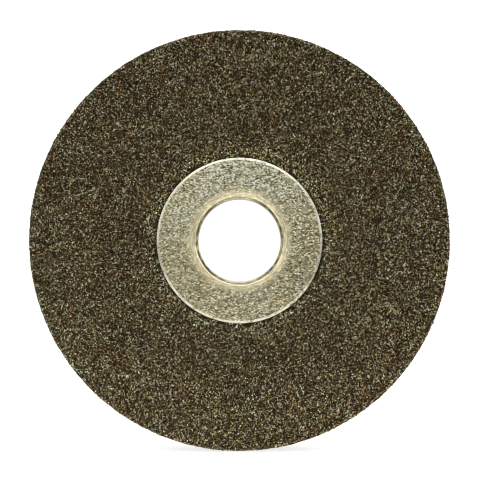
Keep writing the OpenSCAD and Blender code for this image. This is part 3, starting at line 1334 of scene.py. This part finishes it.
# Stage
def add_floor(look):
    """A glowing white floor under the wheel, lighter to the camera than to the wheel; near the wheel a
    pool of painted light glows up at it.
    """
    deselect_all()
    low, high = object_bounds()
    bpy.ops.mesh.primitive_plane_add(size=FLOOR_SIDE, location=(0, 0, low.z))
    bpy.ops.object.transform_apply(location=True)
    floor = named("floor")
    material, tree, spot = new_material("white_floor")
    far = vector_maths(tree, "LENGTH", {0: spot}, "Value")
    pool = fade(tree, far, look.pool_r, 3 * look.pool_r, look.floor_glow, 0.0)
    seen = tree.nodes.new("ShaderNodeLightPath").outputs["Is Camera Ray"]
    glow = place(tree, "ShaderNodeMix", {0: seen, 2: pool, 3: look.floor_white}).outputs[0]
    inputs = {
        "Base Color": rgba(FLOOR_TINT),
        "Roughness": 0.9,
        "Specular IOR Level": 0,
        "Emission Color": rgba(WHITE),
        "Emission Strength": glow,
    }
    floor.data.materials.append(finished(material, inputs))
    floor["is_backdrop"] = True


def add_room(look):
    """A white room, darker before the wheel than elsewhere, and pure white to the camera."""
    world = bpy.data.worlds.new("white_room")
    bpy.context.scene.world = world
    world.use_nodes = True
    tree = world.node_tree
    heading = tree.nodes.new("ShaderNodeTexCoord").outputs["Generated"]
    towards = vector_maths(tree, "DOT_PRODUCT", {0: heading, 1: tuple(look.dim_way)}, "Value")
    light = fade(tree, towards, *DIM_EDGE, look.room, look.dim)
    room, backdrop = [
        place(tree, "ShaderNodeBackground", {"Color": rgba(WHITE), "Strength": power}).outputs[0]
        for power in (light, look.backdrop)
    ]
    seen = tree.nodes.new("ShaderNodeLightPath").outputs["Is Camera Ray"]
    both = place(tree, "ShaderNodeMixShader", {0: seen, 1: room, 2: backdrop}).outputs[0]
    fill(tree, tree.nodes["World Output"], {0: both})


def add_strip_light(look):
    """A narrow light above the wheel and in front of it, which picks out the edge of the flange."""
    bpy.ops.object.light_add(type="AREA", location=STRIP_PLACE)
    lamp = bpy.context.object
    lamp.rotation_euler = (-lamp.location).to_track_quat("-Z", "Y").to_euler()
    lamp.name = "strip_light"
    lamp.data.shape = "RECTANGLE"
    lamp.data.size, lamp.data.size_y = STRIP_SIDES
    lamp.data.energy = look.strip
    lamp.visible_camera = False


def add_camera(look):
    """A camera on the spin axis, half a picture point off, so that the wheel's middle is a point."""
    bpy.ops.object.camera_add(
        location=(look.pixel / 2, FRONT_LOW.y - look.distance, look.pixel / 2),
        rotation=(math.pi / 2, 0, 0),
    )
    camera = bpy.context.object
    camera.data.lens = camera.data.sensor_width * look.distance / (look.pixel * IMAGE_SIDE)
    camera.data.clip_start = 10 * MM
    bpy.context.scene.camera = camera


class WHEEL_OT_stage(bpy.types.Operator):
    """Make the white floor, the soft light and the camera"""

    bl_idname = "wheel.stage"
    bl_label = "Stage"

    def execute(self, context):
        for add in (add_floor, add_room, add_strip_light, add_camera):
            add(context.scene.wheel_stage)
        context.scene.view_settings.view_transform = "Standard"
        context.scene.cycles.pixel_filter_type = "BOX"
        return {"FINISHED"}


class WHEEL_PT_panel(bpy.types.Panel):
    """Lists the steps that build the wheel"""

    bl_label = "Grinding Wheel"
    bl_idname = "WHEEL_PT_panel"
    bl_space_type = "VIEW_3D"
    bl_region_type = "UI"
    bl_category = "Wheel"

    def draw(self, context):
        for step in STEPS:
            self.layout.operator(step.bl_idname)


STEPS = (
    WHEEL_OT_front_layer,
    WHEEL_OT_back_layer,
    WHEEL_OT_inner_scrim,
    WHEEL_OT_back_scrim,
    WHEEL_OT_blotter,
    WHEEL_OT_bush,
    WHEEL_OT_back_ring,
    WHEEL_OT_stage,
)


def register():
    for kind in (*LOOKS.values(), *STEPS, WHEEL_PT_panel):
        bpy.utils.register_class(kind)
    for name, group in LOOKS.items():
        setattr(bpy.types.Scene, name, bpy.props.PointerProperty(type=group))


def unregister():
    for name in LOOKS:
        delattr(bpy.types.Scene, name)
    for kind in reversed((*LOOKS.values(), *STEPS, WHEEL_PT_panel)):
        bpy.utils.unregister_class(kind)


def main():
    register()
    for step in STEPS:
        group, name = step.bl_idname.split(".")
        getattr(getattr(bpy.ops, group), name)()


if __name__ == "__main__":
    main()
